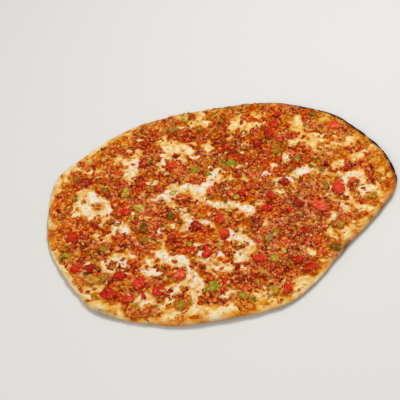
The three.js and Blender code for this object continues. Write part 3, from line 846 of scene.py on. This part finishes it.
def unit_shapes(count, subdivisions, cuts, roughness, rng):
    """Chopped lumps about a unit in radius: round ones with flat cuts, and with bumps of that roughness."""
    sphere = bmesh.new()
    bmesh.ops.create_icosphere(sphere, subdivisions=subdivisions, radius=1.0)
    directions = np.array([v.co for v in sphere.verts])
    faces = np.array([[v.index for v in f.verts] for f in sphere.faces])
    sphere.free()
    shapes = []
    for _ in range(count):
        offset = rng.uniform(-50, 50, 3)
        coarse = [solid_noise.noise(Vector(1.1 * d + offset)) for d in directions]
        fine = [solid_noise.noise(Vector(2.7 * d - offset)) for d in directions]
        points = directions * (1 + roughness * (np.array(coarse) + 0.6 * np.array(fine)))[:, None]
        for normal in rng.normal(0, 1, (cuts, 3)):
            normal = normal / np.linalg.norm(normal)
            beyond = np.clip(points @ normal - rng.uniform(0.45, 0.8), 0, None)
            points = points - beyond[:, None] * normal
        shapes.append(points / np.abs(points).max(0))
    return np.array(shapes), faces


def scatter(spacing, keep, margin, rng):
    """Places on the bread, at most one to a square cell and none within the margin of its edge, kept with
    the chance that keep gives for them."""
    x, y = np.meshgrid(*(np.arange(low, high, spacing) for low, high in zip(GRID_LOW, GRID_HIGH)))
    x = x.ravel() + rng.uniform(0, spacing, x.size)
    y = y.ravel() + rng.uniform(0, spacing, y.size)
    chance = np.where(edge_inset(x, y) > margin, keep(x, y), 0.0)
    kept = rng.random(x.size) < chance
    return x[kept], y[kept]


def placed(shapes, faces, x, y, z, size, tilt, rng, bend=0.0):
    """One copy of a random shape at each place, with its three sizes, bent and tilted a little and turned
    anyhow."""
    count = len(x)
    points = shapes[rng.integers(0, len(shapes), count)] * (size[:, None, :] / 2)
    lean = rng.normal(0, tilt, count)[:, None]
    turn = rng.uniform(0, TAU, count)[:, None]
    a, b, c = points[..., 0], points[..., 1], points[..., 2]
    b = b + rng.normal(0, bend, count)[:, None] * (a**2 - size[:, :1] ** 2 / 12)
    b, c = b * np.cos(lean) - c * np.sin(lean), b * np.sin(lean) + c * np.cos(lean)
    a, b = a * np.cos(turn) - b * np.sin(turn), a * np.sin(turn) + b * np.cos(turn)
    points = np.stack([a + x[:, None], b + y[:, None], c + z[:, None]], -1)
    starts = np.arange(count)[:, None, None] * shapes.shape[1]
    return points.reshape(-1, 3), (faces[None] + starts).reshape(-1, 3)


def make_crumbs(name, kind, shader, rng):
    shapes, faces = unit_shapes(SHAPES, kind["subdivisions"], CRUMB_CUTS, CRUMB_ROUGHNESS, rng)

    def keep(x, y):
        chance = lerp(kind["stray"], kind["keep"], density(x, y) ** 2)
        on_dice = lerp(0.9, 0.08, smoothstep(0.4, 0.9, sample(DICE, x, y)))
        return np.where(sample(DICE, x, y) < ON_DICE, chance, on_dice * kind["keep"])

    x, y = scatter(kind["spacing"], keep, kind["length"][1] / 2, rng)
    length = lerp(*kind["length"], rng.random(len(x)) ** 1.5)
    width = length * rng.uniform(*CRUMB_WIDTHS, len(x))
    height = length * rng.uniform(*CRUMB_HEIGHTS, len(x))
    size = np.stack([length, width, height], 1)
    off_dice = sample(DICE, x, y) < ON_DICE
    ground = np.where(off_dice, surface(x, y), sample(OVER_DICE, x, y))
    z = ground + height * rng.uniform(-CRUMB_DEPTH, CRUMB_PROUD, len(x))
    points, faces = placed(shapes, faces, x, y, z, size, CRUMB_TILT, rng)
    tone = rng.normal(*CRUMB_TONE, len(x)) + clump_tone(x, y) + 0.2 * (1.0 - density(x, y))
    corners = shapes.shape[1]
    # Painted light and shade: each crumb's tone is raised towards its top and lowered towards its foot.
    above = (points[:, 2] - np.repeat(z, corners)) / np.repeat(height / 2, corners)
    tone = np.clip(np.repeat(tone, corners) + CRUMB_PAINTED_SHADE * above, 0, 1)
    paste = np.clip(pastiness(x, y) - 0.05 + rng.normal(0, 0.05, len(x)), 0, 1)
    golden = (rng.random(len(x)) < OILY_CRUMBS) & off_dice
    oil = np.clip(0.7 * oiliness(x, y) + 0.7 * golden, 0, 1)
    attributes = {"tone": tone, "paste": np.repeat(paste, corners), "oil": np.repeat(oil, corners)}
    smooth = kind["subdivisions"] > 1
    return mesh_object(name, points, faces, shader, "minced_meat", smooth, **attributes)


# ---- Tomato, pepper, onion, herbs and specks -----------------------------------------------------


def dice_tone(node, rng):
    """How dark or pale a diced piece is."""
    drawn = rng.uniform(*DICE_TONES)
    if node in DARK_DICE:
        return DARK_TONE
    return PALE_TONE if node in PALE_DICE else drawn


def rounded(name, points, faces, traits):
    """A finer mesh with rounded corners, which carries a number for each point under each trait's name."""
    rough = bpy.data.meshes.new(name)
    rough.from_pydata(points, [], faces)
    editable = bmesh.new()
    editable.from_mesh(rough)
    crease = editable.edges.layers.float.new("crease_edge")
    for edge in editable.edges:
        edge[crease] = DICE_CREASE
    for trait, values in traits.items():
        layer = editable.verts.layers.float.new(trait)
        for vertex, value in zip(editable.verts, values):
            vertex[layer] = value
    bmesh.ops.remove_doubles(editable, verts=editable.verts, dist=0.001)
    editable.to_mesh(rough)
    editable.free()
    holder = bpy.data.objects.new(name + "_rough", rough)
    bpy.context.scene.collection.objects.link(holder)
    holder.modifiers.new("round", "SUBSURF").levels = 2
    fine = bpy.data.meshes.new_from_object(holder.evaluated_get(bpy.context.evaluated_depsgraph_get()))
    bpy.data.objects.remove(holder)
    return fine


def refined(name, nodes, shader, slot, wrinkles, rng):
    """The nodes' own solids with rounded corners and a wrinkled skin, as one piece that replaces them."""
    points, faces, traits = [], [], {"tone": [], "fresh": []}
    for node in nodes:
        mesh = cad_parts[node].data
        own = np.array([v.co for v in mesh.vertices]) / MM
        middle = (own.min(0) + own.max(0)) / 2
        start = sum(map(len, points))
        faces.extend([start + k for k in f.vertices] for f in mesh.polygons)
        points.append(middle + (own - middle) * DICE_GROWTH)
        traits["tone"].extend([dice_tone(node, rng)] * len(own))
        traits["fresh"].extend([float(node in FRESH_DICE)] * len(own))
    fine = rounded(name, np.concatenate(points), faces, traits)
    own = np.array([v.co for v in fine.vertices])
    out = np.array([v.normal for v in fine.vertices])
    waves = np.zeros(len(own))
    for height, size in WRINKLES:
        waves += height * np.array([solid_noise.noise(Vector(p / size)) for p in own])
    attributes = {trait: np.array([v.value for v in fine.attributes[trait].data]) for trait in traits}
    faces = [list(f.vertices) for f in fine.polygons]
    points = own + out * wrinkles * waves[:, None]
    piece = mesh_object(name, points, faces, shader, slot, **attributes)
    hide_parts(*nodes)


def make_bits(name, kind, shader, slot, rng):
    shapes, faces = unit_shapes(SHAPES, 2, BIT_CUTS, BIT_ROUGHNESS, rng)

    def keep(x, y):
        chance = lerp(0.05, kind["keep"], smoothstep(0.1, 0.7, density(x, y)))
        return np.where(sample(DICE, x, y) < 0.2, chance, 0.0)

    low, high = kind["length"]
    x, y = scatter(kind["spacing"], keep, high / 2, rng)
    length = low + (high - low) * rng.random(len(x)) ** 1.6
    size = np.stack([length, length * rng.uniform(*kind["width"], len(x)), length * kind["height"]], 1)
    z = surface(x, y) + size[:, 2] * rng.uniform(0.0, 0.35, len(x)) + BIT_LIFT
    points, faces = placed(shapes, faces, x, y, z, size, BIT_TILT, rng, BIT_BEND)
    tone = np.repeat(rng.uniform(0.15, 1, len(x)), shapes.shape[1])
    fresh = np.repeat(rng.random(len(x)) < FRESH_BITS, shapes.shape[1])
    return mesh_object(name, points, faces, shader, slot, tone=tone, fresh=fresh)


def make_specks(shader, rng):
    shapes, faces = unit_shapes(6, 1, 2, 0.4, rng)

    def keep(x, y):
        return SPECKS["keep"] * (0.3 + sample(BARE, x, y))

    x, y = scatter(SPECKS["spacing"], keep, SPECKS["length"][1], rng)
    length = rng.uniform(*SPECKS["length"], len(x))
    size = np.stack([length, 0.7 * length, 0.35 * length], 1)
    points, faces = placed(shapes, faces, x, y, surface(x, y) + 0.1 * length, size, 0.2, rng)
    tone = np.repeat(rng.uniform(0, 1, len(x)), shapes.shape[1])
    return mesh_object("burnt_specks", points, faces, shader, "minced_meat", tone=tone)


# ---- Floor, light and camera ---------------------------------------------------------------------


def make_floor():
    s = Shader("pale_floor", Roughness=0.7)
    mesh = bpy.data.meshes.new("floor")
    corners = [(-FLOOR_HALF, -FLOOR_HALF), (FLOOR_HALF, -FLOOR_HALF), (FLOOR_HALF, FLOOR_HALF)]
    corners.append((-FLOOR_HALF, FLOOR_HALF))
    mesh.from_pydata([(x * MM, y * MM, 0) for x, y in corners], [], [(0, 1, 2, 3)])
    s.main.inputs["Base Color"].default_value = linear(FLOOR)
    mesh.materials.append(s.material)
    floor = bpy.data.objects.new("floor", mesh)
    bpy.context.scene.collection.objects.link(floor)


def area_light(name, place, size, power):
    light = bpy.data.lights.new(name, "AREA")
    light.size = size * MM
    light.energy = power
    lamp = bpy.data.objects.new(name, light)
    lamp.location = Vector(place) * MM
    lamp.rotation_euler = (-Vector(place)).to_track_quat("-Z", "Y").to_euler()
    bpy.context.scene.collection.objects.link(lamp)


def light_scene():
    for name, (place, size, power) in LIGHTS.items():
        area_light(name, place, size, power)
    world = bpy.data.worlds.new("studio")
    world.use_nodes = True
    background = world.node_tree.nodes["Background"]
    background.inputs["Color"].default_value = SKY
    background.inputs["Strength"].default_value = SKY_STRENGTH
    bpy.context.scene.world = world
    bpy.context.scene.view_settings.view_transform = "Standard"


def add_camera():
    camera = bpy.data.objects.new("camera", bpy.data.cameras.new("camera"))
    camera.data.sensor_width = SENSOR
    camera.data.lens = SENSOR / 2 / math.tan(math.radians(VIEW_ANGLE / 2))
    elevation = math.radians(VIEW_ELEVATION)
    back = Vector((0.0, -math.cos(elevation), math.sin(elevation)))
    camera.location = (Vector(VIEW_TARGET) + back * VIEW_DISTANCE) * MM
    camera.rotation_euler = (-back).to_track_quat("-Z", "Y").to_euler()
    bpy.context.scene.collection.objects.link(camera)
    bpy.context.scene.camera = camera


# ---- The lahmacun --------------------------------------------------------------------------------


def build():
    rng = np.random.default_rng(SEED)
    crumb = mince_material("minced_meat")
    tomato, pepper, onion, herb, burnt = (topping_material(name, **looks) for name, looks in TOPPINGS.items())
    make_dough(dough_material())
    make_paste(mince_material("mince_paste"))
    for name, kind in CRUMBS.items():
        make_crumbs(name, kind, crumb, rng)
    refined("tomato_pieces", TOMATOES, tomato, "tomato", TOMATO_WRINKLES, rng)
    refined("pepper_pieces", PEPPERS, pepper, "green_pepper", PEPPER_WRINKLES, rng)
    make_bits("tomato_bits", BITS["tomato_bits"], tomato, "tomato", rng)
    make_bits("pepper_bits", BITS["pepper_bits"], pepper, "green_pepper", rng)
    make_bits("onion_shreds", BITS["onion_shreds"], onion, "baked_dough", rng)
    make_bits("herb_flecks", BITS["herb_flecks"], herb, "green_pepper", rng)
    make_specks(burnt, rng)


build()
make_floor()
light_scene()
add_camera()
